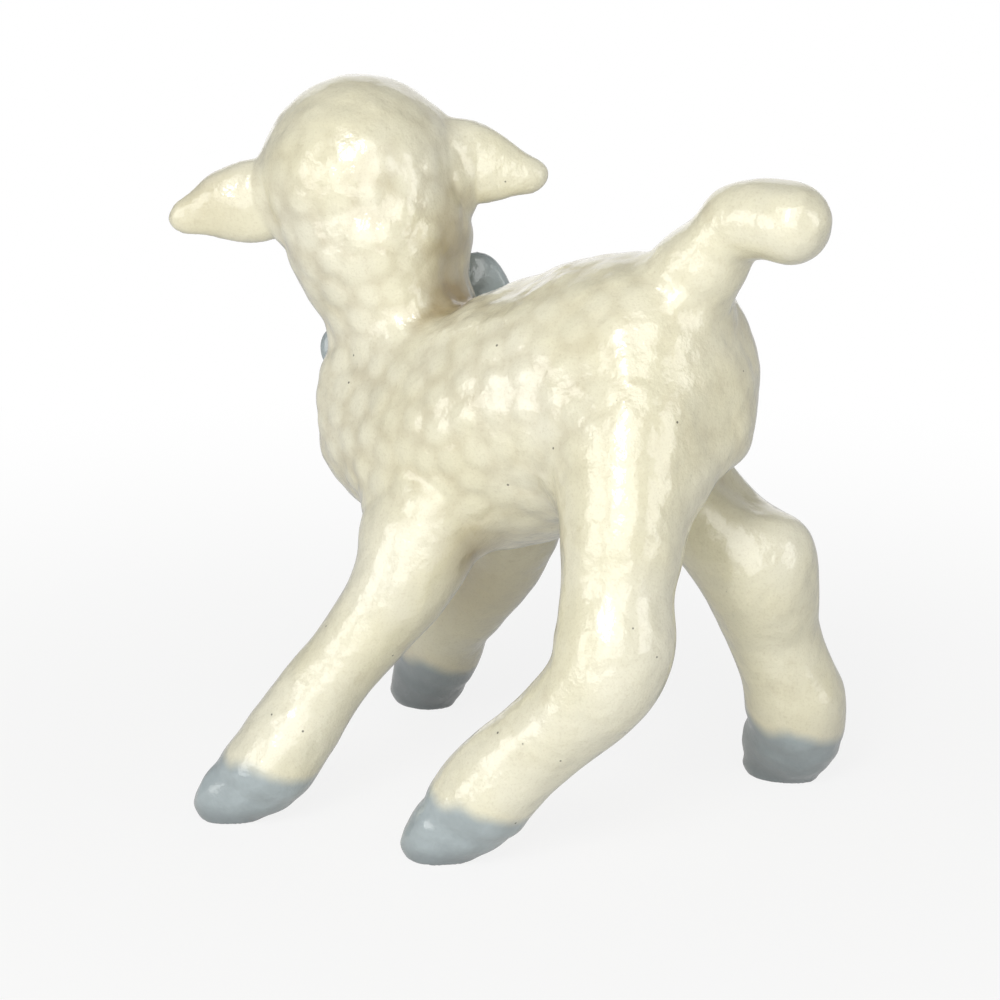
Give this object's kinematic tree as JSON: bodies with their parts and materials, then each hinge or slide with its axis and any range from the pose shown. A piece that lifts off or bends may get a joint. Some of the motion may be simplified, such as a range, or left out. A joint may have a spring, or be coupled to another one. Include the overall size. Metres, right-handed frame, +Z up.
{
  "type": "lamb figurine",
  "caption": "Free-standing glazed ceramic lamb with splayed legs, head turned over its shoulder, upturned tail and a ribbon bow at the throat.",
  "frame": {"origin": "on the surface it stands on, under the middle of its bounding box", "axes": "+Z up, chest towards -X, tail towards +X, the lamb's left flank towards -Y"},
  "size_m": [0.1306, 0.092, 0.1366],
  "materials": {
    "cream_glaze": "thick glossy cream glaze",
    "grey_blue_glaze": "glossy grey-blue underglaze colour"
  },
  "bodies": {
    "root": {"torso": "cream_glaze", "head": "cream_glaze", "left_ear": "cream_glaze", "right_ear": "cream_glaze", "tail": "cream_glaze", "front_left_leg": "cream_glaze", "front_left_hoof": "grey_blue_glaze", "front_right_leg": "cream_glaze", "front_right_hoof": "grey_blue_glaze", "hind_left_leg": "cream_glaze", "hind_left_hoof": "grey_blue_glaze", "hind_right_leg": "cream_glaze", "hind_right_hoof": "grey_blue_glaze", "bow_knot": "grey_blue_glaze", "bow_left_loop": "grey_blue_glaze", "bow_left_tail": "grey_blue_glaze", "bow_right_loop": "grey_blue_glaze", "bow_right_tail": "grey_blue_glaze"}
  },
  "joints": []
}
